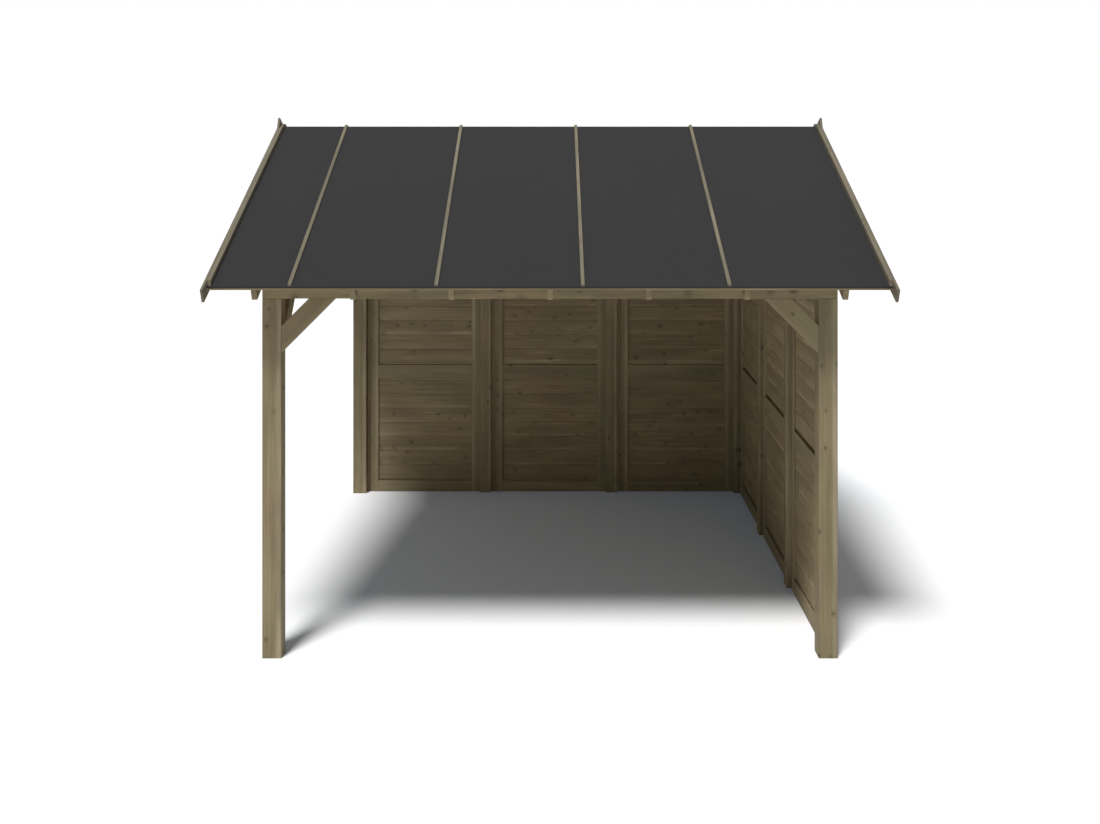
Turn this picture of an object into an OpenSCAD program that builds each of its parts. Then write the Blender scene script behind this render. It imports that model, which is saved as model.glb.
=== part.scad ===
// Open garden pergola with a felted gable roof, walled with framed panels at the rear and on the
// right-hand side, and braced at its two open sides. Millimetres, +X to the right, +Y to the rear,
// +Z up. The origin is on the ground at the centre of the plan, and the ridge runs along X above it.

/* [Plan] */
// Width over the outer faces of the corner posts
plan_w = 3600; // [3000:10:4500]
// Depth over the outer faces of the corner posts
plan_d = 3600; // [3000:10:4500]
// Height from the ground to the underside of the beams
head_h = 2250; // [2000:10:2600]

/* [Posts and beams] */
// Side of the square corner posts, and width of the beams that they carry
post_w = 120; // [100:5:150]
// Height of the beams
beam_h = 100; // [80:5:160]
// Width of the posts between the wall panels
mid_post_w = 105; // [70:5:140]
// How far the posts between the panels stand proud of the panels, on the inside
mid_post_proud = 30; // [5:5:50]
// How far the rear wall's middle posts stand to the left of even spacing
rear_post_shift = 15; // [-60:5:60]
// Side of the square posts in the gables, under the ridge board
king_post_w = 120; // [80:5:140]

/* [Braces, rafters and ridge] */
// Thickness of the braces, the rafters and the ridge board
plank_t = 35; // [25:1:50]
// Width of a brace, square to its length
brace_w = 120; // [80:5:150]
// Long leg of a brace, along its post and along its beam
brace_leg = 340; // [260:5:500]
// Depth of a rafter, square to the slope
rafter_h = 120; // [90:5:160]
// How deep the rafters are notched over the beams, at the beams' outer faces
rafter_notch = 34; // [15:1:60]
// How far the rafters' lower corners reach past the beams
rafter_tail = 120; // [60:5:170]
// Depth of the ridge board
ridge_board_h = 150; // [140:5:240]

/* [Wall panels] */
// How far the panels are set back from the inner faces of the corner posts
panel_setback = 60; // [50:5:65]
// Thickness of a panel's frame
panel_t = 45; // [38:1:50]
// Width of the filler strip between a panel and the post to its left, seen from inside
filler_w = 34; // [15:1:60]
// How far the filler strip is set back from the frame's inner face
filler_recess = 20; // [5:1:30]
// Width of a panel's left stile, seen from inside
stile_left_w = 70; // [50:5:120]
// Width of a panel's right stile, seen from inside
stile_right_w = 75; // [50:5:120]
// Height of the bottom rail
bottom_rail_h = 100; // [60:5:160]
// Height from the ground to the middle rail's underside
mid_rail_z = 1046; // [700:1:1400]
// Height of the middle rail
mid_rail_h = 120; // [60:1:160]
// Height of the top rail
top_rail_h = 100; // [60:5:160]
// Thickness of a panel's boards
board_t = 16; // [12:1:18]
// How far the boards are set back from the frame's inner face
board_recess = 15; // [5:1:18]
// Height of the slot that is left open above a rail, at the foot of the boards
slot_h = 12; // [8:1:30]
// Depth of that slot, behind the boards' face
slot_depth = 10; // [4:1:11]

/* [Roof covering] */
// Slope of the roof, in degrees
roof_pitch = 25.7; // [20:0.1:32]
// How far the roof boards reach past the beams at the eaves, measured level
eave_out = 241; // [235:1:350]
// How far the bargeboards' outer faces stand out from the posts' outer faces
verge_out = 292; // [120:1:400]
// Thickness of the roof boards
roof_board_t = 20; // [15:1:28]
// Thickness of the roofing felt
felt_t = 3; // [2:0.5:6]

/* [Bargeboards and laths] */
// Thickness of the bargeboards
bargeboard_t = 16; // [12:1:30]
// Width of the bargeboards, square to the slope
bargeboard_w = 88; // [70:1:150]
// How far a bargeboard's top edge stands above the felt
bargeboard_up = 32; // [14:1:45]
// How far a bargeboard's top edge reaches past the eave, measured level
bargeboard_tail = 97; // [50:1:150]
// Width of the laths that hold the felt down
lath_w = 22; // [15:1:40]
// Thickness of the laths
lath_t = 12; // [8:1:20]
// How far the verge laths, which are planed level over the ridge, stand above the felt there
verge_crown_up = 20; // [12:1:28]
// Spacing of the laths across the roof
lath_pitch = 888; // [700:1:900]
// How far the set of laths stands to the left of the roof's middle
lath_shift = 245; // [-300:1:300]

/* [Hidden] */

// How far a cutting solid runs past the face that it cuts
overshoot = 5;

// Half of the clear width and depth between the corner posts, and the beams' top
clear_x = plan_w / 2 - post_w;
clear_y = plan_d / 2 - post_w;
beam_top = head_h + beam_h;

// The walls: three bays each, with two posts between them
bays = 3;
rear_bay = (2 * clear_x - (bays - 1) * mid_post_w) / bays;
right_bay = (2 * clear_y - (bays - 1) * mid_post_w) / bays;
function post_start(clear, bay, i, shift) = -clear + i * bay + (i - 1) * mid_post_w - shift;
rear_post_1 = post_start(clear_x, rear_bay, 1, rear_post_shift);
rear_post_2 = post_start(clear_x, rear_bay, 2, rear_post_shift);
right_post_1 = post_start(clear_y, right_bay, 1, 0);
right_post_2 = post_start(clear_y, right_bay, 2, 0);

// The roof: heights follow the rafters' top planes, which meet above the ridge board's middle
slope = tan(roof_pitch);
crown_z = beam_top - rafter_notch + plan_d / 2 * slope + rafter_h / cos(roof_pitch);
function roof_z(out, lift) = crown_z + lift / cos(roof_pitch) - out * slope;
skin = roof_board_t + felt_t;
eave_y = plan_d / 2 + eave_out;
roof_x = plan_w / 2 + verge_out - bargeboard_t;

// The rafters: the end pairs stand against the beams' ends, the others evenly between them
rafter_pairs = 7;
rafter_pitch = (plan_w + plank_t) / (rafter_pairs - 1);

// The bargeboards: each rear one runs on over the ridge until it covers the front one's top end
board_top = skin + bargeboard_up;
board_low = board_top - bargeboard_w;
lap_y = bargeboard_w / (2 * sin(roof_pitch));
tail_y = eave_y + bargeboard_tail;

// The laths over the felt: four across the roof, and one beside each pair of bargeboards
laths = 4;
verge_lath_x = roof_x - lath_w / 2;
function lath_x(i) = (i - (laths - 1) / 2) * lath_pitch - lath_shift;

timber = [0.55, 0.50, 0.39];
shaded_timber = [0.46, 0.42, 0.32];
felt_grey = [0.26, 0.26, 0.27];

// Gives an outline drawn in Y and Z a thickness t, from x towards +X
module across(x, t) {
    translate([x, 0, 0])
        rotate([90, 0, 90])
            linear_extrude(t)
                children();
}

// Gives an outline drawn in X and Z a thickness t, from y towards +Y
module along(y, t) {
    translate([0, y + t, 0])
        rotate([90, 0, 0])
            linear_extrude(t)
                children();
}

// A corner post, with its outer corner at x, y on the side that sx and sy point to
module corner_post(sx, sy) {
    color(timber)
        translate([sx * plan_w / 2, sy * plan_d / 2, 0])
            translate([sx > 0 ? -post_w : 0, sy > 0 ? -post_w : 0, 0])
                cube([post_w, post_w, head_h]);
}

// The walls are drawn as seen from inside: X to the right, Y outwards from the corner posts'
// inner faces
module on_rear_wall() {
    translate([0, clear_y, 0])
        children();
}

module on_right_wall() {
    translate([clear_x, 0, 0])
        rotate([0, 0, -90])
            children();
}

module mid_post(start) {
    inner = panel_setback - mid_post_proud;
    color(timber)
        translate([start, inner, 0])
            cube([mid_post_w, post_w - inner, head_h]);
}

// A panel: a frame of stiles and rails round two fields of boards, with a filler strip to its left
module wall_panel(start, end) {
    w = end - start;
    field_x = filler_w + stile_left_w;
    field_w = w - field_x - stile_right_w;
    upper_z = mid_rail_z + mid_rail_h;
    color(shaded_timber)
        translate([start, panel_setback, 0])
            difference() {
                cube([w, panel_t, head_h]);
                translate([-overshoot, -overshoot, -overshoot])
                    cube([filler_w + overshoot, filler_recess + overshoot, head_h + 2 * overshoot]);
                translate([field_x, 0, 0]) {
                    panel_field(field_w, bottom_rail_h, mid_rail_z);
                    panel_field(field_w, upper_z, head_h - top_rail_h);
                }
            }
}

// What is cut away round the boards between two rails: inside, outside, and the slot at their foot
module panel_field(w, low, high) {
    back = board_recess + board_t;
    translate([0, -overshoot, low])
        cube([w, overshoot + board_recess, high - low]);
    translate([0, back, low])
        cube([w, panel_t - back + overshoot, high - low]);
    translate([0, -overshoot, low])
        cube([w, overshoot + board_recess + slot_depth, slot_h]);
}

module beam_across(sy) {
    color(timber)
        translate([-plan_w / 2, sy > 0 ? clear_y : -plan_d / 2, head_h])
            cube([plan_w, post_w, beam_h]);
}

module beam_side(sx) {
    color(timber)
        translate([sx > 0 ? clear_x : -plan_w / 2, -clear_y, head_h])
            cube([post_w, 2 * clear_y, beam_h]);
}

// A brace's outline: its corner is where the post meets the beam, and dir points along the beam
module brace_outline(dir) {
    short_leg = brace_leg - brace_w * sqrt(2);
    polygon([
        [0, -brace_leg],
        [0, -short_leg],
        [dir * short_leg, 0],
        [dir * brace_leg, 0],
    ]);
}

// A brace under the front beam, level with the posts' front faces
module brace_front(sx) {
    color(timber)
        translate([sx * clear_x, 0, head_h])
            along(-plan_d / 2, plank_t)
                brace_outline(-sx);
}

// A brace under the left beam, level with the posts' inner faces
module brace_left(sy) {
    color(timber)
        translate([0, sy * clear_y, head_h])
            across(-clear_x - plank_t, plank_t)
                brace_outline(-sy);
}

module king_post(sx) {
    top = roof_z(plank_t / 2, 0) - ridge_board_h;
    middle = plan_w / 2 - post_w / 2;
    color(timber)
        translate([sx * middle - king_post_w / 2, -king_post_w / 2, beam_top])
            cube([king_post_w, king_post_w, top - beam_top]);
}

module ridge_board() {
    top = roof_z(plank_t / 2, 0);
    color(timber)
        translate([-plan_w / 2 - plank_t, -plank_t / 2, top - ridge_board_h])
            cube([plan_w + 2 * plank_t, plank_t, ridge_board_h]);
}

// A rafter's outline, with a plumb cut at the ridge and a square cut at the tail
module rafter_outline(side) {
    low_y = plan_d / 2 + rafter_tail;
    low_z = roof_z(low_y, -rafter_h);
    polygon([
        [side * plank_t / 2, roof_z(plank_t / 2, -rafter_h)],
        [side * low_y, low_z],
        [side * (low_y + rafter_h * sin(roof_pitch)), low_z + rafter_h * cos(roof_pitch)],
        [side * plank_t / 2, roof_z(plank_t / 2, 0)],
    ]);
}

// Both rafters of pair i, counted from the left. The end pairs have no notch: they pass the
// beams' ends
module rafter_pair(i) {
    x = (i - (rafter_pairs - 1) / 2) * rafter_pitch - plank_t / 2;
    notched = i > 0 && i < rafter_pairs - 1;
    color(timber)
        across(x, plank_t)
            difference() {
                union() {
                    rafter_outline(-1);
                    rafter_outline(1);
                }
                if (notched)
                    translate([-plan_d / 2, 0])
                        square([plan_d, beam_top]);
            }
}

// A layer on one slope, from the ridge to the eave
module slope_layer(side, low, high) {
    polygon([
        [0, roof_z(0, low)],
        [side * eave_y, roof_z(eave_y, low)],
        [side * eave_y, roof_z(eave_y, high)],
        [0, roof_z(0, high)],
    ]);
}

module roof_boards(side) {
    color(timber)
        across(-roof_x, 2 * roof_x)
            slope_layer(side, 0, roof_board_t);
}

module felt(side) {
    color(felt_grey)
        across(-roof_x, 2 * roof_x)
            slope_layer(side, roof_board_t, skin);
}

// The laths beside the bargeboards stand as high as those, except over the ridge
module felt_laths() {
    color(timber) {
        for (i = [0 : laths - 1])
            roof_lath(lath_x(i), lath_t);
        for (side = [-1, 1])
            difference() {
                roof_lath(side * verge_lath_x, bargeboard_up);
                translate([side * verge_lath_x - lath_w, -eave_y, roof_z(0, skin) + verge_crown_up])
                    cube([2 * lath_w, 2 * eave_y, 2 * bargeboard_up]);
            }
    }
}

// A lath over both slopes, with its middle at x
module roof_lath(x, t) {
    across(x - lath_w / 2, lath_w) {
        slope_layer(-1, skin, skin + t);
        slope_layer(1, skin, skin + t);
    }
}

// The square cut at a bargeboard's tail
function tail_cut(side) = [
    [side * tail_y, roof_z(tail_y, board_top)],
    [
        side * (tail_y - bargeboard_w * sin(roof_pitch)),
        roof_z(tail_y, board_top) - bargeboard_w * cos(roof_pitch),
    ],
];

// The front bargeboard is cut along the rear one's lower edge
module bargeboard_front(sx) {
    bargeboard(sx)
        polygon(concat(
            [[0, roof_z(0, board_low)], [-lap_y, roof_z(lap_y, board_top)]],
            tail_cut(-1)
        ));
}

// The rear bargeboard has a square end that stands up past the ridge
module bargeboard_rear(sx) {
    heel_z = roof_z(lap_y, board_top);
    tip_y = bargeboard_w * sin(roof_pitch) - lap_y;
    bargeboard(sx)
        polygon(concat(
            [[-lap_y, heel_z], [tip_y, heel_z + bargeboard_w * cos(roof_pitch)]],
            tail_cut(1)
        ));
}

module bargeboard(sx) {
    color(timber)
        across(sx > 0 ? roof_x : -roof_x - bargeboard_t, bargeboard_t)
            children();
}

corner_post(-1, -1);  // post_front_left
corner_post(1, -1);  // post_front_right
corner_post(-1, 1);  // post_rear_left
corner_post(1, 1);  // post_rear_right
on_rear_wall() mid_post(rear_post_1);  // rear_mid_post_left
on_rear_wall() mid_post(rear_post_2);  // rear_mid_post_right
on_right_wall() mid_post(right_post_1);  // right_mid_post_rear
on_right_wall() mid_post(right_post_2);  // right_mid_post_front
beam_across(-1);  // beam_front
beam_across(1);  // beam_rear
beam_side(-1);  // beam_left
beam_side(1);  // beam_right
king_post(-1);  // king_post_left
king_post(1);  // king_post_right
ridge_board();
brace_front(-1);  // brace_front_left
brace_front(1);  // brace_front_right
brace_left(-1);  // brace_left_front
brace_left(1);  // brace_left_rear
on_rear_wall() wall_panel(-clear_x, rear_post_1);  // rear_panel_left
on_rear_wall() wall_panel(rear_post_1 + mid_post_w, rear_post_2);  // rear_panel_middle
on_rear_wall() wall_panel(rear_post_2 + mid_post_w, clear_x);  // rear_panel_right
on_right_wall() wall_panel(-clear_y, right_post_1);  // right_panel_rear
on_right_wall() wall_panel(right_post_1 + mid_post_w, right_post_2);  // right_panel_middle
on_right_wall() wall_panel(right_post_2 + mid_post_w, clear_y);  // right_panel_front
rafter_pair(0);  // rafter_pair_1
rafter_pair(1);  // rafter_pair_2
rafter_pair(2);  // rafter_pair_3
rafter_pair(3);  // rafter_pair_4
rafter_pair(4);  // rafter_pair_5
rafter_pair(5);  // rafter_pair_6
rafter_pair(6);  // rafter_pair_7
roof_boards(-1);  // roof_boards_front
roof_boards(1);  // roof_boards_rear
felt(-1);  // felt_front
felt(1);  // felt_rear
felt_laths();
bargeboard_front(-1);  // bargeboard_front_left
bargeboard_front(1);  // bargeboard_front_right
bargeboard_rear(-1);  // bargeboard_rear_left
bargeboard_rear(1);  // bargeboard_rear_right
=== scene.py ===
"""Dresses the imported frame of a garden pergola: rounded timbers with grain and knots, boarded walls
and roof, mineral felt, laths, screws and nails, on a plain pale floor. Metres, in the part's frame."""

import math
import random

import bmesh
import bpy
from mathutils import Matrix, Vector


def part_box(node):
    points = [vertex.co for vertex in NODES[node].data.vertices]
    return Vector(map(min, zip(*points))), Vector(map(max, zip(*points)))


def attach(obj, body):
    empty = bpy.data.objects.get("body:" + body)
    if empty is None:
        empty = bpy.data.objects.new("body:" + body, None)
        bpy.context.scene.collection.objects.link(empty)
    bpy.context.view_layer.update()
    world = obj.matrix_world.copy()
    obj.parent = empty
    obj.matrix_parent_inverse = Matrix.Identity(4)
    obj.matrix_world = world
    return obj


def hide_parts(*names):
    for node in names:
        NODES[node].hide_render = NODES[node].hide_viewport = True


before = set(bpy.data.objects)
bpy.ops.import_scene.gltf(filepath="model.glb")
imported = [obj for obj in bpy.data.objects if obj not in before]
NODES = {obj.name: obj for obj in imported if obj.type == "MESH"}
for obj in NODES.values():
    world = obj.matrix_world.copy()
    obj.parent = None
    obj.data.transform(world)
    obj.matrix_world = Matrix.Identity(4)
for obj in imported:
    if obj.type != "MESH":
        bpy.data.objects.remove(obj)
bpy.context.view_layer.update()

bl_info = {
    "name": "Garden pergola",
    "version": (1, 0, 0),
    "blender": (4, 5, 0),
    "location": "3D View > Sidebar > Pergola",
    "description": "Timbers, boards, felt and fixings of a garden pergola around its packed frame",
    "category": "Add Mesh",
}

BODY = "root"
WALLS = {
    "rear": ("rear_panel_left", "rear_panel_middle", "rear_panel_right"),
    "right": ("right_panel_rear", "right_panel_middle", "right_panel_front"),
}
ALL_PANELS = [node for nodes in WALLS.values() for node in nodes]
SQUARE = ("post_", "rear_mid_post", "right_mid_post", "beam_", "king_post")
SQUARE_TIMBERS = [n for n in NODES if n.startswith(SQUARE)]
PLANK_FINISHES = {
    "brace_": "brace_timber",
    "rafter_pair_": "rafter_timber",
    "ridge_board": "beam_timber",
}
PLANKS = [n for n in NODES if n.startswith(tuple(PLANK_FINISHES))]
BARGEBOARDS = [n for n in NODES if n.startswith("bargeboard_")]
LATHS = "felt_laths"
# Which side of the ridge each is on: -1 is the front
SLOPES = {"roof_boards_front": -1, "roof_boards_rear": 1}
FELTS = {"felt_front": -1, "felt_rear": 1}
X, Y, Z = Vector((1, 0, 0)), Vector((0, 1, 0)), Vector((0, 0, 1))

# Corners of the frame that are nearer than the first are level, and nearer than the second are one
LEVEL = 1e-4
MERGED = 1e-5

# Leans that no timber is square to: they settle which way its grain and its pale edge point. A face
# is one of its sides if its normal is this nearly square to the grain
GRAIN_LEAN = X + Y * 0.9 + Z * 1.1
PALE_LEAN = X * 0.5 - Z
SIDE_LIMIT = 0.1

# The wood that timbers are cut from: how long it is, and how far its pith may lie from a timber's
# middle, to the side and through the timber
GRAIN_RUN = 60.0
PLANK_PITH = (0.04, 0.3)
SQUARE_PITH = (0.015, 0.08)

# Knots: places for them along the grain and round the pith, their width against their length, and
# the share of the places that have none
KNOT_SPACING = 0.13
KNOT_TURN = 1.1
KNOT_SHORTENING = 0.7
KNOT_GAPS = 0.40

# The tongue behind a wall panel's slot: how far it runs up behind the boards, and its rounding
SLOT_LAP = 0.004
TONGUE_ARRIS = 0.0005

# Heads of screws and nails: how far they stand out, the shares of the width that the top and its
# recess take, and the share of the height that the recess is deep
HEAD_HEIGHT = 0.0016
HEAD_SIDES = 12
HEAD_TAPER = 0.88
SCREW_RECESS = 0.55
NAIL_RECESS = 0.85
RECESS_DEPTH = 0.4

# Places of screws and nails: how far they are from the ends and from a board's middle line. As many
# pairs of screws as fit go into a bargeboard's length less the spare
BRACE_SCREW_INSET = 0.045
BRACE_SCREW_SHARES = (0.32, 0.68)
VERGE_SCREW_END = 0.18
VERGE_SCREW_SPARE = 0.3
VERGE_SCREW_STEP = 0.022
NAIL_END = 0.05

# Faces in the bend of the felt over an eave, and in the rounding of a timber's and a board's edge
LAP_STEPS = 4
ARRIS_STEPS = 3

# Seeds, kept apart so that no two fields of boards are alike
FIELD_SEED_STEP = 20
PANEL_SEED_STEP = 100
ROOF_SEEDS = {-1: 850, 1: 950}
TONE_SEED_STEP = 11
HEAD_SEED = 5

# Stage: half the floor's width, the way that the sun shines, and a level camera with a shifted lens
FLOOR_REACH = 150.0
SUN_TOWARDS = Vector((0.19, 0.432, -1.0))
SUN_AWAY = 8
EYE = (0.0, -9.321, 3.265)
LENS_MM = 39.37
SENSOR_MM = 36.0
LENS_SHIFT = -0.2506
VIEW_END = 1000.0


# ---- Sizes and colours -------------------------------------------------------------------------


def amount(name, description, default, **more):
    return bpy.props.FloatProperty(name=name, description=description, default=default, **more)


def length(name, description, default, low=0.0, high=1.0):
    return amount(name, description, default, min=low, max=high, unit="LENGTH")


def colour(name, description, default):
    return bpy.props.FloatVectorProperty(
        name=name, description=description, default=default, size=3, min=0, max=1, subtype="COLOR"
    )


class PergolaTimber(bpy.types.PropertyGroup):
    post_arris: length("Post arris", "Rounding of the square timbers' edges", 0.004, 0.001, 0.02)
    plank_arris: length("Plank arris", "Rounding of the planks' edges", 0.0025, 0.001, 0.01)
    frame_arris: length("Frame arris", "Rounding of the wall frames' edges", 0.003, 0.001, 0.01)
    lath_arris: length("Lath arris", "Rounding of the laths' and bargeboards' edges", 0.0008, 0.0005, 0.004)
    green: colour("Green timber", "Colour of the wood where the treatment shows", (0.240, 0.205, 0.113))
    tan: colour("Tan timber", "Colour of the wood where it is reddish", (0.257, 0.201, 0.117))
    # The pale edge's colour: partly pale wood, partly a painted highlight where edges and sides catch the
    # light
    sapwood_and_highlight: colour("Sapwood", "Colour of the pale wood near an edge", (0.345, 0.292, 0.190))
    knot: colour("Knots", "Colour of the knots", (0.095, 0.064, 0.031))
    knot_size: length("Knot size", "Radius of the largest knots", 0.0078, 0.0, 0.03)
    seed: bpy.props.IntProperty(name="Seed", description="Choice of the grain", default=1559, min=0)


class PergolaBoards(bpy.types.PropertyGroup):
    wall_cover: length("Wall board", "Height that one wall board covers", 0.1300, 0.05, 0.3)
    roof_cover: length("Roof board", "Width that one roof board covers", 0.1190, 0.05, 0.3)
    groove: length("Groove", "Gap between two boards at the face", 0.0006, 0.0, 0.01)
    wall_arris: length("Wall board arris", "Rounding of the wall boards' edges", 0.0025, 0.001, 0.02)
    roof_arris: length("Roof board arris", "Rounding of the roof boards' edges", 0.003, 0.001, 0.02)
    seed: bpy.props.IntProperty(name="Seed", description="Choice of the boards", default=3, min=0)


class PergolaRoofing(bpy.types.PropertyGroup):
    felt: colour("Felt", "Colour of the mineral felt", (0.0335, 0.0325, 0.0330))
    lap: length("Eave lap", "How far the felt hangs down over the eave", 0.0125, 0.0, 0.03)


class PergolaFixings(bpy.types.PropertyGroup):
    screw_head: length("Screw head", "Diameter of a screw head", 0.008, 0.004, 0.02)
    nail_head: length("Nail head", "Diameter of a nail head", 0.006, 0.002, 0.02)
    lath_spacing: length("Nail spacing", "Distance between the nails of a lath", 0.30, 0.05, 1.0)
    verge_spacing: length("Screw spacing", "Distance between the bargeboards' screws", 0.42, 0.1, 1.0)
    metal: colour("Screw metal", "Colour of the coated screws", (0.20, 0.18, 0.12))


class PergolaStage(bpy.types.PropertyGroup):
    sun: amount("Key light", "Strength of the sun lamp", 2.95)
    sun_angle: amount("Key softness", "Angle of the sun lamp", 0.225, unit="ROTATION")
    sky: amount("Sky", "Strength of the even light", 0.17)
    floor: colour("Floor", "Colour of the floor", (0.90, 0.90, 0.90))
    floor_shown: amount("Floor shown", "Level of the floor that the camera sees", 1.03)
    # Painted light: a faint blue glow on the floor that only the camera sees, which cools the floor's shade
    floor_glow: colour("Floor glow", "Light added to the floor that the camera sees", (0, 0.012, 0.030))


# ---- Node trees --------------------------------------------------------------------------------


def plug(tree, socket, value):
    """Links a value that is a socket, and sets any other."""
    if isinstance(value, bpy.types.NodeSocket):
        tree.links.new(value, socket)
    else:
        socket.default_value = value


def add(tree, kind, values=None, **settings):
    """Adds a node with its settings and its inputs' values."""
    made = tree.nodes.new(kind)
    for name, value in settings.items():
        setattr(made, name, value)
    for key, value in (values or {}).items():
        plug(tree, made.inputs[key], value)
    return made


def in_use(sockets):
    """The sockets that a node shows as it is set."""
    return [s for s in sockets if s.enabled]


def out(tree, kind, values=None, **settings):
    """The first output of a node that is added."""
    return add(tree, kind, values, **settings).outputs[0]


def maths(tree, operation, *values):
    return out(tree, "ShaderNodeMath", dict(enumerate(values)), operation=operation)


def product(tree, first, *others):
    for other in others:
        first = maths(tree, "MULTIPLY", first, other)
    return first


def vector_maths(tree, operation, *values, result="Vector"):
    values = dict(enumerate(values))
    return add(tree, "ShaderNodeVectorMath", values, operation=operation).outputs[result]


def combine(tree, **parts):
    """A vector of its named parts, which are nought where not given."""
    return out(tree, "ShaderNodeCombineXYZ", parts)


def separate(tree, vector):
    return add(tree, "ShaderNodeSeparateXYZ", {"Vector": vector}).outputs


def ramp(tree, value, low, high, to_low=0.0, to_high=1.0):
    """Goes smoothly from to_low at low to to_high at high."""
    values = {"Value": value, "From Min": low, "From Max": high, "To Min": to_low, "To Max": to_high}
    made = add(tree, "ShaderNodeMapRange", values, interpolation_type="SMOOTHSTEP")
    return made.outputs["Result"]


def noise(tree, vector, stretch, detail=3.0, roughness=0.5):
    """Noise in a space that is stretched by that much along each axis."""
    scaled = vector_maths(tree, "MULTIPLY", vector, stretch)
    values = {"Vector": scaled, "Scale": 1.0, "Detail": detail, "Roughness": roughness}
    return add(tree, "ShaderNodeTexNoise", values).outputs["Fac"]


def mix_colour(tree, factor, a, b, blend="MIX"):
    made = add(tree, "ShaderNodeMix", data_type="RGBA", blend_type=blend, clamp_factor=True)
    for socket, value in zip(in_use(made.inputs), (factor, a, b)):
        plug(tree, socket, value)
    return in_use(made.outputs)[0]


def rgba(values):
    return (*values, 1.0)


def showing(tree):
    """1 for the rays that show the surroundings, straight or by way of metal or glass."""
    rays = add(tree, "ShaderNodeLightPath").outputs
    seen = maths(tree, "MAXIMUM", rays["Is Camera Ray"], rays["Is Glossy Ray"])
    return maths(tree, "MAXIMUM", seen, rays["Is Transmission Ray"])


def object_place(tree):
    return add(tree, "ShaderNodeTexCoord").outputs["Object"]


def shaded(tree, values):
    """Ends a material's tree in a shader with those values."""
    shader = add(tree, "ShaderNodeBsdfPrincipled", values)
    add(tree, "ShaderNodeOutputMaterial", {"Surface": shader.outputs["BSDF"]})


def bumped(tree, height, strength, distance):
    values = {"Strength": strength, "Distance": distance, "Height": height}
    return add(tree, "ShaderNodeBump", values).outputs["Normal"]


def new_material(name):
    material = bpy.data.materials.new(name)
    material.use_nodes = True
    material.node_tree.nodes.clear()
    return material, material.node_tree


def timber_material(
    name,
    lift=1.0,
    pale=1.0,
    least=0.4,
    side=0.4,
    band=(0.55, 0.80),
    fall=0.94,
    contrast=1.0,
    tint=(1, 1, 1),
    blend=(0.36, 0.64),
    knot=(1.0, 1.0),
    dash=(7.0, 75.0, 0.12),
):
    """Pressure-treated softwood: olive and tan drifts, fibres, rings, knots and a pale edge. The pale edge
    is partly pale wood and partly a painted highlight on the edges and sides that catch the light.

    lift: how light the whole is, and contrast: how strong its streaks are
    pale: how strong the pale edge is, from least of that on some timbers to all of it on others
    band: from where to where across the timber, whose middle is 0 and edge 1, the edge turns pale
    fall, side: from where it fades again, and to what share of it at the very edge and on the sides, where
    it paints light on them
    tint: a colour over the whole, and blend: which part of the hue noise runs from green to tan
    knot: the knots' size and depth, against the usual
    dash: light dashes, by how fast they change along and across the grain and how light they are
    """
    s = bpy.context.scene.pergola_timber
    material, tree = new_material(name)
    grain = add(tree, "ShaderNodeAttribute", attribute_name="grain").outputs["Vector"]
    span = add(tree, "ShaderNodeAttribute", attribute_name="span").outputs["Vector"]
    tone = add(tree, "ShaderNodeAttribute", attribute_name="tone").outputs["Fac"]
    knot_size, knot_depth = knot
    dash_along, dash_across, dash_light = dash

    core, halo = knots(tree, grain, s.knot_size * knot_size)
    core = product(tree, core, knot_depth)

    # Fibres and rings bend round a knot
    bend = product(tree, halo, 0.006)
    bent = vector_maths(tree, "ADD", grain, combine(tree, Y=bend, Z=bend))
    fibres = noise(tree, bent, (2.4, 70.0, 70.0), detail=4.0, roughness=0.6)
    streaks = noise(tree, bent, (0.9, 16.0, 16.0), detail=3.0)
    clouds = noise(tree, bent, (2.2, 7.0, 7.0), detail=2.0)
    dashes = noise(tree, bent, (dash_along, dash_across, dash_across), detail=1.0)
    drift = noise(tree, grain, (3.2, 1.5, 1.5), detail=1.0)
    hue = noise(tree, object_place(tree), (1.7, 1.7, 1.7), detail=2.0)
    rings = year_rings(tree, bent)

    def swing(value, low, high, most):
        """A factor about 1, from 1 - most at low to 1 + most at high."""
        most *= contrast
        return ramp(tree, value, low, high, 1.0 - most, 1.0 + most)

    level = product(
        tree,
        swing(streaks, 0.30, 0.70, 0.10),
        lift,
        swing(clouds, 0.32, 0.68, 0.10),
        swing(fibres, 0.25, 0.75, 0.09),
        swing(rings, 1.0, 0.0, 0.05),
        swing(tone, 0.0, 1.0, 0.06),
        ramp(tree, dashes, 0.62, 0.72, 1.0, 1.0 + dash_light),
        ramp(tree, halo, 0.0, 1.0, 1.0, 0.86),
    )
    across = separate(tree, span)["Y"]
    # Each timber's own strength of the pale edge is drawn from its tone, but doesn't go with it
    timber_choice = maths(tree, "FRACT", product(tree, tone, 7.3))
    # Painted highlight, partly pale wood: the pale edge lightens the edges and sides that catch the light
    edge = product(
        tree,
        ramp(tree, across, *band),
        ramp(tree, across, fall, 1.0, 1.0, side),
        ramp(tree, streaks, 0.3, 0.6, 0.45, 0.9),
        ramp(tree, drift, 0.35, 0.62, min(1.0, 2 * least), 1.0),
        ramp(tree, timber_choice, 0.0, 1.0, least * pale, pale),
    )
    base = mix_colour(tree, ramp(tree, hue, *blend), rgba(s.green), rgba(s.tan))
    base = mix_colour(tree, edge, base, rgba(s.sapwood_and_highlight))
    base = mix_colour(tree, 1.0, base, level, "MULTIPLY")
    base = mix_colour(tree, 1.0, base, rgba(tint), "MULTIPLY")
    base = mix_colour(tree, core, base, rgba(s.knot))

    height = maths(tree, "ADD", product(tree, rings, -0.35), fibres)
    height = maths(tree, "ADD", height, product(tree, core, 0.5))
    values = {
        "Base Color": base,
        "Roughness": ramp(tree, fibres, 0.2, 0.8, 0.62, 0.78),
        "Specular IOR Level": 0.30,
        "Normal": bumped(tree, height, strength=0.35, distance=0.0006),
    }
    shaded(tree, values)
    return material


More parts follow.
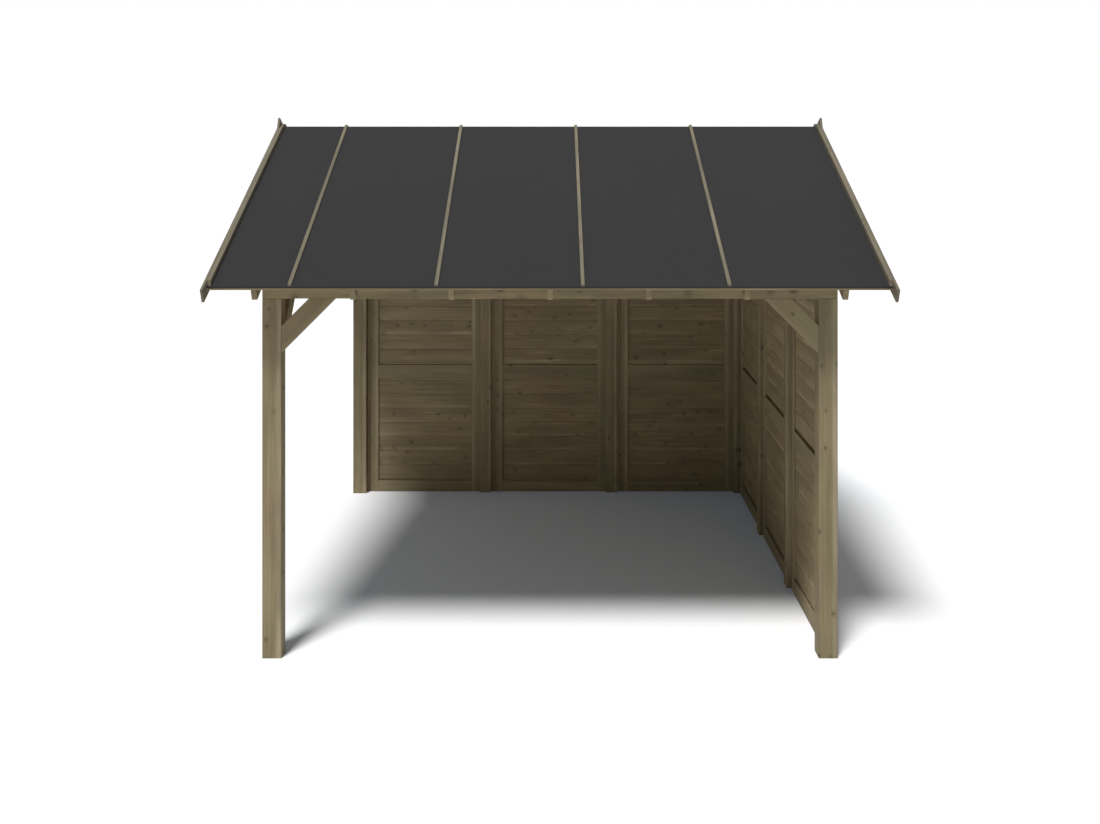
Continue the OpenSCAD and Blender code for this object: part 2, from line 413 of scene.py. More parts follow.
def year_rings(tree, grain):
    """Year rings round the pith, which wander a little along the grain."""
    values = {
        "Vector": vector_maths(tree, "MULTIPLY", grain, (0.10, 1.0, 1.0)),
        "Scale": 52.0,
        "Distortion": 2.6,
        "Detail": 2.0,
        "Detail Scale": 0.25,
        "Detail Roughness": 0.5,
    }
    shape = {"wave_type": "RINGS", "rings_direction": "X", "wave_profile": "SAW"}
    return add(tree, "ShaderNodeTexWave", values, **shape).outputs["Fac"]


def knots(tree, grain, largest):
    """Knots run out from the pith, which lies where the grain's Y and Z are nought. Returns how far
    a point is in a knot, and how near it is to one."""
    parts = separate(tree, grain)
    angle = maths(tree, "ARCTAN2", parts["Y"], parts["Z"])
    radius = combine(tree, Y=parts["Y"], Z=parts["Z"])
    radius = vector_maths(tree, "LENGTH", radius, result="Value")
    along = maths(tree, "DIVIDE", parts["X"], KNOT_SPACING)
    cells = combine(tree, X=along, Y=maths(tree, "DIVIDE", angle, KNOT_TURN))
    values = {"Vector": cells, "Scale": 1.0, "Randomness": 1.0}
    shape = {"voronoi_dimensions": "2D", "feature": "F1"}
    nearest = add(tree, "ShaderNodeTexVoronoi", values, **shape).outputs

    away = separate(tree, vector_maths(tree, "SUBTRACT", cells, nearest["Position"]))
    along = product(tree, away["X"], KNOT_SPACING * KNOT_SHORTENING)
    round_pith = product(tree, radius, maths(tree, "SINE", product(tree, away["Y"], KNOT_TURN)))
    away = vector_maths(tree, "LENGTH", combine(tree, X=along, Y=round_pith), result="Value")

    chance = add(tree, "ShaderNodeSeparateColor", {"Color": nearest["Color"]}).outputs
    size = ramp(tree, chance[0], KNOT_GAPS, 1.0, 0.0, largest)
    depth = ramp(tree, chance[1], 0.0, 1.0, 0.45, 0.95)
    core = ramp(tree, maths(tree, "SUBTRACT", away, size), -0.0025, 0.0015, 1.0, 0.0)
    core = product(tree, core, ramp(tree, size, 0.0005, 0.002), depth)
    halo = maths(tree, "SUBTRACT", away, product(tree, size, 1.3))
    halo = product(tree, ramp(tree, halo, 0.0, 0.016, 1.0, 0.0), ramp(tree, size, 0.001, 0.006))
    return core, halo


def felt_material(name):
    """Mineral felt: fine granules, faint blotches and the odd paler granule."""
    s = bpy.context.scene.pergola_roofing
    material, tree = new_material(name)
    place = object_place(tree)
    granules = noise(tree, place, (420.0, 420.0, 420.0), detail=2.0, roughness=0.7)
    patches = noise(tree, place, (2.2, 1.1, 1.1), detail=3.0)
    specks = add(tree, "ShaderNodeTexVoronoi", {"Vector": place, "Scale": 260.0}, feature="F1")
    pick = out(tree, "ShaderNodeSeparateColor", {"Color": specks.outputs["Color"]})
    level = product(
        tree,
        ramp(tree, granules, 0.3, 0.7, 0.90, 1.10),
        ramp(tree, patches, 0.3, 0.7, 0.98, 1.02),
        ramp(tree, pick, 0.82, 1.0, 1.0, 1.25),
    )
    height = maths(tree, "ADD", granules, product(tree, pick, 0.5))
    values = {
        "Base Color": mix_colour(tree, 1.0, rgba(s.felt), level, "MULTIPLY"),
        "Roughness": ramp(tree, granules, 0.3, 0.7, 0.88, 0.98),
        "Specular IOR Level": 0.15,
        "Normal": bumped(tree, height, strength=0.5, distance=0.0008),
    }
    shaded(tree, values)
    return material


def metal_material(name):
    """Coated steel of the screws and nails, dulled by the weather."""
    s = bpy.context.scene.pergola_fixings
    material, tree = new_material(name)
    stain = noise(tree, object_place(tree), (300.0, 300.0, 300.0), detail=2.0)
    level = ramp(tree, stain, 0.3, 0.7, 0.7, 1.15)
    values = {
        "Base Color": mix_colour(tree, 1.0, rgba(s.metal), level, "MULTIPLY"),
        "Metallic": 0.6,
        "Roughness": ramp(tree, stain, 0.3, 0.7, 0.45, 0.65),
    }
    shaded(tree, values)
    return material


# How each kind of timber differs from the usual one
WALL_BOARDS = {
    "least": 0.1,
    # The wall boards' pale lower edge is partly pale wood and partly a painted highlight of the light from
    # the floor
    "band": (0.40, 0.72),
    "blend": (0.1, 0.9),
    "knot": (1.4, 0.6),
    "dash": (2.6, 55.0, 0.32),
}
TIMBERS = {
    # Posts: a strong pale edge and lighter sides, partly pale wood and partly painted light on the edges
    # and sides that catch the light
    "frame_timber": {
        "lift": 0.95,
        "pale": 1.3,
        "least": 0.8,
        "side": 0.5,
        "band": (0.30, 0.62),
        "fall": 0.76,
    },
    # Beams and the ridge board are painted lighter: painted light in the shade under the eaves
    "beam_timber": {"lift": 1.07, "pale": 0.6, "contrast": 1.3, "knot": (2.2, 0.75)},
    "brace_timber": {"lift": 1.05, "pale": 0.3, "contrast": 0.7},
    # Rafters are painted darker: painted shade, as their tails reach out into more light
    "rafter_timber": {"lift": 0.93, "pale": 0.4},
    "panel_timber": {
        "lift": 1.01,
        "pale": 1.2,
        "least": 0.7,
        "band": (-0.3, 0.5),
        "fall": 0.6,
        "contrast": 0.8,
    },
    "rail_timber": {"lift": 0.96, "pale": 0.5, "contrast": 0.8},
    # The tongues in the slots are painted lighter: painted light in the shade of their slots, the upper
    # ones more
    "tongues": {"lift": 1.5, "pale": 0.0, "contrast": 0.8},
    "upper_tongues_painted_light": {"lift": 2.15, "pale": 0.0, "contrast": 0.6},
    # The filler strip beside each post is painted lighter: painted light in the shade of its recess
    "filler_timber": {"lift": 1.45, "pale": 0.3, "contrast": 0.8},
    "rear_boards": {"lift": 1.03, "tint": (1.02, 0.99, 0.985), **WALL_BOARDS},
    "right_boards": {"lift": 1.14, "pale": 0.9, "tint": (1.015, 0.99, 0.985), **WALL_BOARDS},
    "roof_boards": {"lift": 0.95, "pale": 0.3},
    "trim_timber": {"lift": 0.87, "pale": 0.0, "contrast": 1.4, "tint": (0.79, 0.84, 1.03)},
}
OTHER_FINISHES = {"roofing_felt": felt_material, "coated_steel": metal_material}


def finish_of(kind):
    """The finish of a kind of piece, made the first time that it is asked for."""
    name = "finish_" + kind
    made = bpy.data.materials.get(name)
    if made is None and kind in OTHER_FINISHES:
        made = OTHER_FINISHES[kind](name)
    return made or timber_material(name, **TIMBERS[kind])


# ---- Timbers -----------------------------------------------------------------------------------


def islands(source):
    """The solids of a mesh, each as a clean mesh of its own with no triangle edges on flat faces."""
    whole = bmesh.new()
    whole.from_mesh(source)
    bmesh.ops.remove_doubles(whole, verts=whole.verts, dist=MERGED)
    flat = math.radians(0.5)
    bmesh.ops.dissolve_limit(whole, angle_limit=flat, verts=whole.verts, edges=whole.edges)
    todo, found = set(whole.verts), []
    while todo:
        group, front = set(), [min(todo, key=lambda v: v.index)]
        while front:
            vertex = front.pop()
            if vertex in group:
                continue
            group.add(vertex)
            front += [e.other_vert(vertex) for e in vertex.link_edges]
        todo -= group
        found.append(group)
    solids = []
    for group in found:
        solid = bmesh.new()
        copies = {v: solid.verts.new(v.co) for v in sorted(group, key=lambda v: v.index)}
        for face in whole.faces:
            if face.verts[0] in group:
                solid.faces.new([copies[v] for v in face.verts])
        solid.normal_update()
        solids.append(solid)
    whole.free()
    return solids


def halves(solid):
    """Splits a solid at the ridge into its front and its rear half, each closed."""
    parts = []
    for side in (-1, 1):
        part = solid.copy()
        geometry = part.verts[:] + part.edges[:] + part.faces[:]
        cut = bmesh.ops.bisect_plane(
            part, geom=geometry, plane_co=(0, 0, 0), plane_no=(0, -side, 0), clear_outer=True
        )
        rim = [g for g in cut["geom_cut"] if isinstance(g, bmesh.types.BMEdge)]
        bmesh.ops.holes_fill(part, edges=rim)
        bmesh.ops.recalc_face_normals(part, faces=part.faces)
        parts.append(part)
    solid.free()
    return parts


def extent(points, axis):
    """How far points reach along an axis, from the least to the most."""
    along = [p.dot(axis) for p in points]
    return min(along), max(along)


def mesh_of(name, shape):
    """The mesh of a finished shape, which is freed."""
    mesh = bpy.data.meshes.new(name)
    shape.to_mesh(mesh)
    shape.free()
    return mesh


def cuboid(low, high):
    solid = bmesh.new()
    bmesh.ops.create_cube(solid, size=1.0)
    for vertex in solid.verts:
        for axis in range(3):
            ends = (low[axis], high[axis])
            vertex.co[axis] = ends[vertex.co[axis] > 0]
    solid.normal_update()
    return solid


def grain_axes(solid, right=None):
    """Directions along the grain, across it towards the pale edge, and through the timber. Where
    right isn't given, the pale edge follows from the timber's shape and lean."""
    longest = max(solid.edges, key=lambda e: round(e.calc_length(), 4))
    along = (longest.verts[1].co - longest.verts[0].co).normalized()
    if along.dot(GRAIN_LEAN) < 0:
        along.negate()
    faces = [f for f in solid.faces if abs(f.normal.dot(along)) < SIDE_LIMIT]
    through = right.cross(along) if right else max(faces, key=lambda f: f.calc_area()).normal
    through = through.normalized()
    across = along.cross(through).normalized()
    if across.dot(right or PALE_LEAN) < 0:
        across.negate()
    return along, across, through


def finish_timber(target, solid, arris, chooser, right=None, pith=PLANK_PITH, both=False):
    """Rounds a timber's edges, stores where each point lies in the wood, and adds it to target. Its
    pith is that far to the side and through it, and its pale edge is on one side or on both."""
    axes = grain_axes(solid, right)
    edges = [e for e in solid.edges if e.is_convex]
    made = bmesh.ops.bevel(
        solid,
        geom=edges,
        offset=arris,
        offset_type="OFFSET",
        segments=ARRIS_STEPS,
        profile=0.5,
        affect="EDGES",
        clamp_overlap=True,
    )
    for face in made["faces"]:
        face.smooth = True
    ends = [extent([v.co for v in solid.verts], axis) for axis in axes]
    middle = [(low + high) / 2 for low, high in ends]
    half = [(high - low) / 2 for low, high in ends]
    beside, through = pith
    shift = (
        chooser.uniform(0, GRAIN_RUN),
        chooser.uniform(-beside, beside),
        chooser.uniform(beside, through),
    )
    grain = solid.verts.layers.float_vector.new("grain")
    span = solid.verts.layers.float_vector.new("span")
    tone = solid.verts.layers.float.new("tone")
    shade = chooser.random()
    for vertex in solid.verts:
        place = [vertex.co.dot(axis) - centre for axis, centre in zip(axes, middle)]
        vertex[grain] = Vector(at + moved for at, moved in zip(place, shift))
        vertex[span] = Vector(at / reach for at, reach in zip(place, half))
        if both:
            vertex[span].y = abs(vertex[span].y)
        vertex[tone] = shade
    mesh = mesh_of("part", solid)
    target.from_mesh(mesh)
    bpy.data.meshes.remove(mesh)


def timber_layers(target):
    """Gives a mesh the three layers before its first timber is added."""
    target.verts.layers.float_vector.new("grain")
    target.verts.layers.float_vector.new("span")
    target.verts.layers.float.new("tone")
    return target


def piece(name, mesh, slot, material=None, stands_for=()):
    """Puts a finished mesh into the scene as a piece of the object."""
    made = bpy.data.objects.new(name, mesh)
    bpy.context.scene.collection.objects.link(made)
    mesh.materials.clear()
    mesh.materials.append(finish_of(material or slot))
    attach(made, BODY)
    if stands_for:
        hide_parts(*stands_for)


def timber_mesh(name, solids, arris, **manner):
    """One mesh of timbers that are finished alike."""
    s = bpy.context.scene.pergola_timber
    chooser = random.Random(f"{name}{s.seed}")
    target = timber_layers(bmesh.new())
    for solid in solids:
        finish_timber(target, solid, arris, chooser, **manner)
    return mesh_of(name, target)


def dressed(node, arris, slot, finish, solids=None, **manner):
    """Stands a node's timbers in its place, rounded and finished."""
    name = node + "_timber"
    mesh = timber_mesh(name, solids or islands(NODES[node].data), arris, **manner)
    piece(name, mesh, slot, finish, [node])


# ---- Geometry Nodes ----------------------------------------------------------------------------


def new_tree(name, inputs):
    """A Geometry Nodes tree with named inputs. Returns the tree, its inputs and its output node."""
    tree = bpy.data.node_groups.new(name, "GeometryNodeTree")
    tree.interface.new_socket("Geometry", in_out="INPUT", socket_type="NodeSocketGeometry")
    for label, kind, default in inputs:
        made = tree.interface.new_socket(label, in_out="INPUT", socket_type="NodeSocket" + kind)
        if default is not None:
            made.default_value = default
    tree.interface.new_socket("Geometry", in_out="OUTPUT", socket_type="NodeSocketGeometry")
    start, end = tree.nodes.new("NodeGroupInput"), tree.nodes.new("NodeGroupOutput")
    return tree, start.outputs, end


def end_tree(tree, geometry, material, end):
    """Ends a tree in a geometry that is given its material."""
    values = {"Geometry": geometry, "Material": material}
    tree.links.new(out(tree, "GeometryNodeSetMaterial", values), end.inputs[0])
    return tree


def store(tree, geometry, name, value, kind="FLOAT_VECTOR", domain="POINT"):
    values = {"Geometry": geometry, "Name": name, "Value": value}
    settings = {"data_type": kind, "domain": domain}
    return out(tree, "GeometryNodeStoreNamedAttribute", values, **settings)


def named(tree, name):
    values, kind = {"Name": name}, "FLOAT_VECTOR"
    return in_use(add(tree, "GeometryNodeInputNamedAttribute", values, data_type=kind).outputs)[0]


def random_value(tree, kind, low, high, seed, index):
    made = add(tree, "FunctionNodeRandomValue", data_type=kind)
    wanted = {"Min": low, "Max": high, "Seed": seed, "ID": index}
    for socket in in_use(made.inputs):
        if socket.name in wanted:
            plug(tree, socket, wanted[socket.name])
    return in_use(made.outputs)[0]


def board_tree():
    """Boards side by side: each runs along X, the next one is higher in Z, and the last is ripped."""
    inputs = (
        ("Length", "Float", 1.0),
        ("Run", "Float", 1.0),
        ("Cover", "Float", 0.12),
        ("Thickness", "Float", 0.016),
        ("Groove", "Float", 0.001),
        ("Arris", "Float", 0.004),
        ("Seed", "Int", 0),
        ("Material", "Material", None),
    )
    tree, given, end = new_tree("board_courses", inputs)
    index = out(tree, "GeometryNodeInputIndex")
    points, share = board_places(tree, given, index)
    scale = combine(tree, X=1.0, Y=1.0, Z=share)
    values = {"Points": points, "Instance": one_board(tree, given), "Scale": scale}
    boards = out(tree, "GeometryNodeInstanceOnPoints", values)

    beside, through = PLANK_PITH
    low, high = (0.0, -beside, beside), (GRAIN_RUN, beside, through)
    shift = random_value(tree, "FLOAT_VECTOR", low, high, given["Seed"], index)
    boards = store(tree, boards, "shift", shift, domain="INSTANCE")
    seed = maths(tree, "ADD", given["Seed"], TONE_SEED_STEP)
    shade = random_value(tree, "FLOAT", 0.0, 1.0, seed, index)
    boards = store(tree, boards, "tone", shade, "FLOAT", "INSTANCE")
    boards = out(tree, "GeometryNodeRealizeInstances", {"Geometry": boards})
    whole = vector_maths(tree, "ADD", named(tree, "grain"), named(tree, "shift"))
    boards = store(tree, boards, "grain", whole)
    boards = out(tree, "GeometryNodeRemoveAttribute", {"Geometry": boards, "Name": "shift"})
    return end_tree(tree, boards, given["Material"], end)


def one_board(tree, given):
    """A board along X with rounded edges, which knows where each point lies in its wood."""
    width = maths(tree, "SUBTRACT", given["Cover"], given["Groove"])
    values = {"Width": given["Thickness"], "Height": width}
    profile = out(tree, "GeometryNodeCurvePrimitiveQuadrilateral", values)
    values = {"Curve": profile, "Count": ARRIS_STEPS, "Radius": given["Arris"], "Limit Radius": True}
    profile = out(tree, "GeometryNodeFilletCurve", values, mode="POLY")
    values = {"Start": (0.0, 0.0, 0.0), "End": combine(tree, X=given["Length"])}
    path = out(tree, "GeometryNodeCurvePrimitiveLine", values)
    values = {"Curve": path, "Profile Curve": profile, "Fill Caps": True}
    board = out(tree, "GeometryNodeCurveToMesh", values)
    place = separate(tree, out(tree, "GeometryNodeInputPosition"))
    grain = combine(tree, X=place["X"], Y=place["Z"], Z=place["Y"])
    board = store(tree, board, "grain", grain)
    # The pale edge is the lower one: partly pale wood and partly a painted highlight of the light from the
    # floor below
    height = maths(tree, "DIVIDE", place["Z"], product(tree, width, -0.5))
    return store(tree, board, "span", combine(tree, Y=height))


def board_places(tree, given, index):
    """The middle of each board on the wall or slope, and the share of its width that is left."""
    rows = maths(tree, "CEIL", maths(tree, "DIVIDE", given["Run"], given["Cover"]))
    step = combine(tree, Z=given["Cover"])
    values = {"Count": rows, "Start Location": (0.0, 0.0, 0.0), "Offset": step}
    points = out(tree, "GeometryNodeMeshLine", values, mode="OFFSET")
    low = product(tree, index, given["Cover"])
    high = maths(tree, "MINIMUM", maths(tree, "ADD", low, given["Cover"]), given["Run"])
    share = maths(tree, "DIVIDE", maths(tree, "SUBTRACT", high, low), given["Cover"])
    middle = product(tree, maths(tree, "ADD", low, high), 0.5)
    values = {"Geometry": points, "Position": combine(tree, Z=middle)}
    return out(tree, "GeometryNodeSetPosition", values), share


def fixing_tree():
    """A screw's or nail's head on each point, turned to the point's facing and spun at random."""
    inputs = (
        ("Diameter", "Float", 0.008),
        ("Height", "Float", HEAD_HEIGHT),
        ("Recess", "Float", 0.5),
        ("Seed", "Int", 0),
        ("Material", "Material", None),
    )
    tree, given, end = new_tree("fixing_heads", inputs)
    values = {"Vector": named(tree, "facing")}
    turned = out(tree, "FunctionNodeAlignRotationToVector", values, axis="Z")
    index = out(tree, "GeometryNodeInputIndex")
    spin = random_value(tree, "FLOAT", 0.0, math.tau, given["Seed"], index)
    values = {"Rotation": turned, "Rotate By": combine(tree, Z=spin)}
    turned = out(tree, "FunctionNodeRotateRotation", values, rotation_space="LOCAL")
    values = {"Points": given["Geometry"], "Instance": one_head(tree, given), "Rotation": turned}
    heads = out(tree, "GeometryNodeInstanceOnPoints", values)
    heads = out(tree, "GeometryNodeRealizeInstances", {"Geometry": heads})
    return end_tree(tree, heads, given["Material"], end)


def one_head(tree, given):
    """A low cone with a pit in its top."""
    radius = product(tree, given["Diameter"], 0.5)
    values = {
        "Vertices": HEAD_SIDES,
        "Radius Top": product(tree, radius, HEAD_TAPER),
        "Radius Bottom": radius,
        "Depth": given["Height"],
    }
    head = add(tree, "GeometryNodeMeshCone", values, fill_type="NGON").outputs
    values = {"Mesh": head["Mesh"], "Selection": head["Top"], "Offset Scale": 0.0, "Individual": False}
    rim = add(tree, "GeometryNodeExtrudeMesh", values, mode="FACES").outputs
    values = {"Geometry": rim["Mesh"], "Selection": rim["Top"], "Scale": given["Recess"]}
    shrunk = out(tree, "GeometryNodeScaleElements", values, domain="FACE")
    depth = product(tree, given["Height"], -RECESS_DEPTH)
    values = {"Mesh": shrunk, "Selection": rim["Top"], "Offset Scale": depth, "Individual": False}
    return out(tree, "GeometryNodeExtrudeMesh", values, mode="FACES")


def grown(name, tree, source, values):
    """The mesh that a tree makes of source, with the modifier gone."""
    carrier = bpy.data.objects.new(name, source)
    bpy.context.scene.collection.objects.link(carrier)
    modifier = carrier.modifiers.new("made", "NODES")
    modifier.node_group = tree
    for item in tree.interface.items_tree:
        if item.in_out == "INPUT" and item.name in values:
            modifier[item.identifier] = values[item.name]
    bpy.context.view_layer.update()
    graph = bpy.context.evaluated_depsgraph_get()
    mesh = bpy.data.meshes.new_from_object(carrier.evaluated_get(graph))
    mesh.name = name
    bpy.data.objects.remove(carrier)
    return mesh


def board_mesh(name, values, turn):
    """A field of boards from the tree, put in its place by turn."""
    tree = bpy.data.node_groups.get("board_courses") or board_tree()
    mesh = grown(name, tree, bpy.data.meshes.new(name), values)
    mesh.transform(turn)
    return mesh


def joined(name, meshes):
    whole = timber_layers(bmesh.new())
    for mesh in meshes:
        whole.from_mesh(mesh)
        bpy.data.meshes.remove(mesh)
    return mesh_of(name, whole)


# ---- Places read from the frame ----------------------------------------------------------------


def levels(node, axis, turn=None):
    """The different heights that a node's corners have along an axis, in order."""
    points = [turn @ v.co if turn else v.co for v in NODES[node].data.vertices]
    found = []
    for value in sorted(p[axis] for p in points):
        if not found or value - found[-1] > LEVEL:
            found.append(value)
    return found


def wall_turn(wall):
    """Turns a wall that is seen from inside, with X to the right, to its place."""
    return Matrix.Rotation(-math.pi / 2, 4, "Z") if wall == "right" else Matrix.Identity(4)


def slope_frame(side):
    """Crown height, slope angle and reach of the roof boards' underside, from the frame."""
    node = next(n for n, s in SLOPES.items() if s == side)
    points = [v.co for v in NODES[node].data.vertices]
    reach = max(abs(corner.y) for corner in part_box(node))
    crown = min(p.z for p in points if abs(p.y) < LEVEL)
    eave = min(p.z for p in points if abs(abs(p.y) - reach) < LEVEL)
    return crown, math.atan((crown - eave) / reach), reach


def on_slope(side, pitch, crown):
    """Turns a field with X level, Z up the slope and Y into the roof to its place on one slope."""
    up = Vector((0, -side * math.cos(pitch), math.sin(pitch)))
    into = Vector((0, -side * math.sin(pitch), -math.cos(pitch)))
    turn = Matrix((X, into, up)).transposed().to_4x4()
    turn.translation = Vector((0, 0, crown))
    return turn


# ---- Operators ---------------------------------------------------------------------------------


class PERGOLA_OT_square_timbers(bpy.types.Operator):
    """Posts and beams with rounded arrises"""

    bl_idname = "pergola.square_timbers"
    bl_label = "Posts and beams"

    def execute(self, context):
        s = context.scene.pergola_timber
        for node in SQUARE_TIMBERS:
            finish = "frame_timber" if "post" in node else "beam_timber"
            manner = {"right": self.pale_edge_and_highlight(node), "pith": SQUARE_PITH}
            dressed(node, s.post_arris, "frame_timber", finish, **manner)
        return {"FINISHED"}

    def pale_edge_and_highlight(self, node):
        """The way that a post's pale edge faces, partly pale wood and partly a painted highlight on the
        edge that catches the light. A beam follows its own shape.
        """
        if node.startswith("right_mid"):
            return -Y
        if node == "post_rear_right":
            return -X
        return X if "post" in node else None


class PERGOLA_OT_planks(bpy.types.Operator):
    """Braces, rafters and the ridge board"""

    bl_idname = "pergola.planks"
    bl_label = "Braces and rafters"

    def execute(self, context):
        s = context.scene.pergola_timber
        for node in PLANKS:
            finish = next(f for start, f in PLANK_FINISHES.items() if node.startswith(start))
            dressed(node, s.plank_arris, "frame_timber", finish)
        return {"FINISHED"}


class PERGOLA_OT_walls(bpy.types.Operator):
    """Framed wall panels with their boards"""

    bl_idname = "pergola.walls"
    bl_label = "Wall panels"

    def execute(self, context):
        for wall, nodes in WALLS.items():
            for node in nodes:
                self.panel(context, wall, node)
        return {"FINISHED"}

    def panel(self, context, wall, node):
        """A frame of stiles, filler and rails, with two fields of boards and the tongues of their
        slots. It is laid out as seen from inside, with X to the right, and turned to its wall."""
        timber, boards = context.scene.pergola_timber, context.scene.pergola_boards
        turn = wall_turn(wall)
        back = turn.inverted()
        left, strip, inner_left, inner_right, right = levels(node, 0, back)
        face, board_face, strip_face, slot_back, board_back, outer = levels(node, 1, back)
        ground, rail_low, slot_low, rail_mid, rail_mid_top, slot_mid, rail_top, head = levels(node, 2)

        def part(ending, finish, solids, arris=timber.frame_arris, stands_for=(), **manner):
            mesh = timber_mesh(node + ending, solids, arris, **manner)
            mesh.transform(turn)
            piece(node + ending, mesh, "panel_timber", finish, stands_for)

        # Each stile's pale edge faces the boards: partly pale wood, partly a painted highlight, kept off
        # the shade beside the posts
        stile = cuboid((strip, face, ground), (inner_left, outer, head))
        part("_stile", "panel_timber", [stile], stands_for=[node], right=X)
        far_stile = cuboid((inner_right, face, ground), (right, outer, head))
        part("_far_stile", "panel_timber", [far_stile], right=-X)
        filler = cuboid((left, strip_face, ground), (strip, outer, head))
        part("_filler", "filler_timber", [filler], right=X)
        # The rails' pale top and bottom edges are partly pale wood and partly a painted highlight where the
        # edges catch the light
        rails = ((ground, rail_low), (rail_mid, rail_mid_top), (rail_top, head))
        rails = [cuboid((inner_left, face, a), (inner_right, outer, b)) for a, b in rails]
        part("_rails", "rail_timber", rails, right=-Z, both=True)

        fields = []
        cladding = wall + "_boards"
        seed = boards.seed + PANEL_SEED_STEP * ALL_PANELS.index(node)
        rows = (
            ("_lower_tongue", "tongues", rail_low, slot_low, rail_mid),
            ("_upper_tongue", "upper_tongues_painted_light", rail_mid_top, slot_mid, rail_top),
        )
        for ending, finish, low, slot, high in rows:
            seed += FIELD_SEED_STEP
            values = {
                "Length": inner_right - inner_left,
                "Run": high - slot,
                "Cover": boards.wall_cover,
                "Thickness": board_back - board_face,
                "Groove": boards.groove,
                "Arris": boards.wall_arris,
                "Seed": seed,
                "Material": finish_of(cladding),
            }
            place = Matrix.Translation((inner_left, (board_face + board_back) / 2, slot))
            fields.append(board_mesh(node + "_field", values, turn @ place))
            tongue = cuboid((inner_left, slot_back, low), (inner_right, board_back, slot + SLOT_LAP))
            part(ending, finish, [tongue], TONGUE_ARRIS, right=-Z)
        piece(node + "_boards", joined(node + "_boards", fields), "panel_timber", cladding)


class PERGOLA_OT_roof_boards(bpy.types.Operator):
    """Boards of the two roof slopes"""

    bl_idname = "pergola.roof_boards"
    bl_label = "Roof boards"

    def execute(self, context):
        boards = context.scene.pergola_boards
        for node, side in SLOPES.items():
            crown, pitch, reach = slope_frame(side)
            low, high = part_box(node)
            thick = (high.z - crown) * math.cos(pitch)
            along = reach / math.cos(pitch)
            values = {
                "Length": high.x - low.x,
                "Run": along,
                "Cover": boards.roof_cover,
                "Thickness": thick,
                "Groove": boards.groove,
                "Arris": boards.roof_arris,
                "Seed": boards.seed + ROOF_SEEDS[side],
                "Material": finish_of("roof_boards"),
            }
            eave = Matrix.Translation((low.x, -thick / 2, -along))
            mesh = board_mesh(node + "_laid", values, on_slope(side, pitch, crown) @ eave)
            clip_at_ridge(mesh, side)
            clip_at_eave(mesh, reach, pitch)
            piece(node + "_laid", mesh, "roof_boards", stands_for=[node])
        return {"FINISHED"}


def clip_at_ridge(mesh, side):
    """Gives the top board its plumb cut."""
    for vertex in mesh.vertices:
        if vertex.co.y * side < 0:
            vertex.co.y = 0


def clip_at_eave(mesh, reach, pitch):
    """Gives the lowest board its plumb cut, along the slope."""
    for vertex in mesh.vertices:
        past = abs(vertex.co.y) - reach
        if past > 0:
            vertex.co.y = math.copysign(reach, vertex.co.y)
            vertex.co.z += past * math.tan(pitch)


class PERGOLA_OT_felt(bpy.types.Operator):
    """Mineral felt and its laps over the eaves"""

    bl_idname = "pergola.felt"
    bl_label = "Felt"

    def execute(self, context):
        hang = context.scene.pergola_roofing.lap
        for node, side in FELTS.items():
            NODES[node].data.materials.clear()
            NODES[node].data.materials.append(finish_of("roofing_felt"))
            self.lap(node, side, hang)
        return {"FINISHED"}

    def lap(self, node, side, hang):
        """The felt's edge, turned down over the ends of the roof boards."""
        reach = slope_frame(side)[2]
        edge = [v.co.z for v in NODES[node].data.vertices if abs(abs(v.co.y) - reach) < LEVEL]
        top, thick = max(edge), max(edge) - min(edge)
        bend = [math.pi / 2 * step / LAP_STEPS for step in range(LAP_STEPS + 1)]
        section = [(thick * math.sin(a), thick * (math.cos(a) - 1)) for a in bend]
        section += [(thick, -hang), (0.0, -hang)]
        shape = bmesh.new()
        ends = [
            [shape.verts.new((end.x, side * (reach + past), top + drop)) for past, drop in section]
            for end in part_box(node)
        ]
        close_prism(shape, *ends)
        bmesh.ops.recalc_face_normals(shape, faces=shape.faces)
        piece(node + "_lap", mesh_of(node + "_lap", shape), "roofing_felt")


def close_prism(shape, first, last):
    """Joins two equal outlines of a mesh to a closed prism."""
    for a in range(len(first)):
        b = (a + 1) % len(first)
        shape.faces.new((first[a], first[b], last[b], last[a]))
    shape.faces.new(first)
    shape.faces.new(last)


class PERGOLA_OT_trim(bpy.types.Operator):
    """Bargeboards and laths"""

    bl_idname = "pergola.trim"
    bl_label = "Bargeboards and laths"

    def execute(self, context):
        arris = context.scene.pergola_timber.lath_arris
        for node in BARGEBOARDS:
            dressed(node, arris, "trim_timber", "trim_timber")
        solids = [half for lath in islands(NODES[LATHS].data) for half in halves(lath)]
        dressed(LATHS, arris, "trim_timber", "trim_timber", solids)
        return {"FINISHED"}


